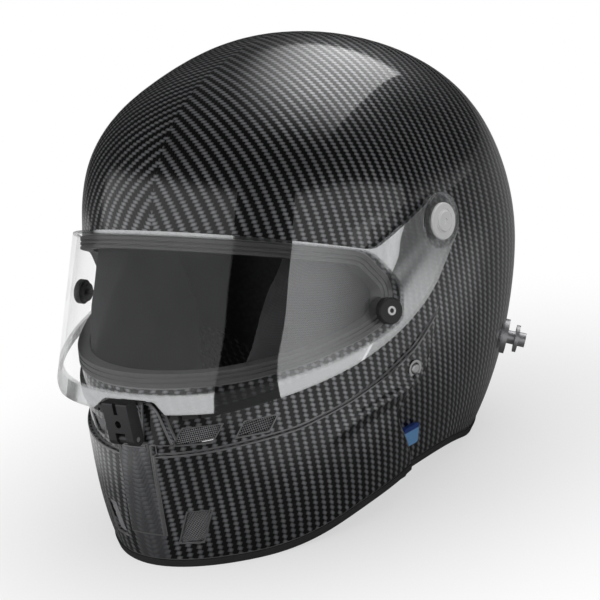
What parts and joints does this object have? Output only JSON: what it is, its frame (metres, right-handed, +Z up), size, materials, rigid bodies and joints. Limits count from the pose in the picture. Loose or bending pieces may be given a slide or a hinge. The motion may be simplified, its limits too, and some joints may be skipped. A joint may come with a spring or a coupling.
{
  "type": "auto racing helmet",
  "caption": "Full-face auto racing helmet in carbon fibre with a clear hinged visor, mesh-backed chin vents and a flip-down visor latch.",
  "frame": {"origin": "bottom centre of the bounding box, on the surface the rim rests on", "axes": "+Z up; the face looks along -Y; +X is the wearer's left"},
  "size_m": [0.2594, 0.3298, 0.269],
  "materials": {
    "carbon_shell": "clear-coated carbon fibre twill",
    "clear_visor": "clear, hard coated",
    "black_rubber": "matt",
    "black_foam": "expanded foam",
    "black_fabric": "flame-resistant knit",
    "black_webbing": "woven webbing",
    "anodised_latch": "grey anodised, satin",
    "steel": "turned steel",
    "white_plastic": "satin white",
    "black_plastic": "satin black",
    "black_anodised": "black anodised",
    "blue_plastic": "satin",
    "vent_mesh": "wire mesh"
  },
  "bodies": {
    "helmet": {"anchor_base_left": "black_anodised", "anchor_base_right": "black_anodised", "anchor_insert_left": "steel", "anchor_insert_right": "steel", "anchor_post_left": "black_anodised", "anchor_post_right": "black_anodised", "brow_pad": "black_fabric", "cheek_pad_left": "black_fabric", "cheek_pad_right": "black_fabric", "chin_bar_liner": "black_fabric", "chin_strap_left": "black_webbing", "chin_strap_right": "black_webbing", "crown_pad": "black_fabric", "crown_side_pad_left": "black_fabric", "crown_side_pad_right": "black_fabric", "edge_trim": "black_rubber", "eyeport_gasket": "black_rubber", "impact_liner_front": "black_foam", "impact_liner_left": "black_foam", "impact_liner_rear": "black_foam", "impact_liner_right": "black_foam", "latch_screw": "steel", "latch_spine": "steel", "nape_pad": "black_fabric", "outer_shell": "carbon_shell", "pivot_bush_left": "steel", "pivot_bush_right": "steel", "pivot_insert_left": "steel", "pivot_insert_right": "steel", "pivot_screw_left": "steel", "pivot_screw_right": "steel", "pivot_washer_left": "white_plastic", "pivot_washer_right": "white_plastic", "port_plug": "blue_plastic", "rivet_ring_left": "steel", "rivet_ring_right": "steel", "strap_rivet_left": "steel", "strap_rivet_right": "steel", "vent_mesh_lower_left": "vent_mesh", "vent_mesh_lower_right": "vent_mesh", "vent_mesh_upper_inner_left": "vent_mesh", "vent_mesh_upper_inner_right": "vent_mesh", "vent_mesh_upper_outer_left": "vent_mesh", "vent_mesh_upper_outer_right": "vent_mesh", "visor_seal": "black_rubber"},
    "visor": {"visor": "clear_visor", "tear_off_post_left": "black_plastic", "tear_off_post_right": "black_plastic", "tear_off_ring_left": "steel", "tear_off_ring_right": "steel"},
    "latch": {"latch_lever": "anodised_latch", "latch_pin": "steel"}
  },
  "joints": [
    {"name": "visor_hinge", "type": "hinge", "parent": "helmet", "child": "visor", "pos_m": [0, 0.0025, 0.161], "axis": [-1, 0, 0], "range_deg": [0, 50]},
    {"name": "latch_hinge", "type": "hinge", "parent": "helmet", "child": "latch", "pos_m": [0, -0.1609, 0.0808], "axis": [1, 0, 0], "range_deg": [0, 75]}
  ]
}
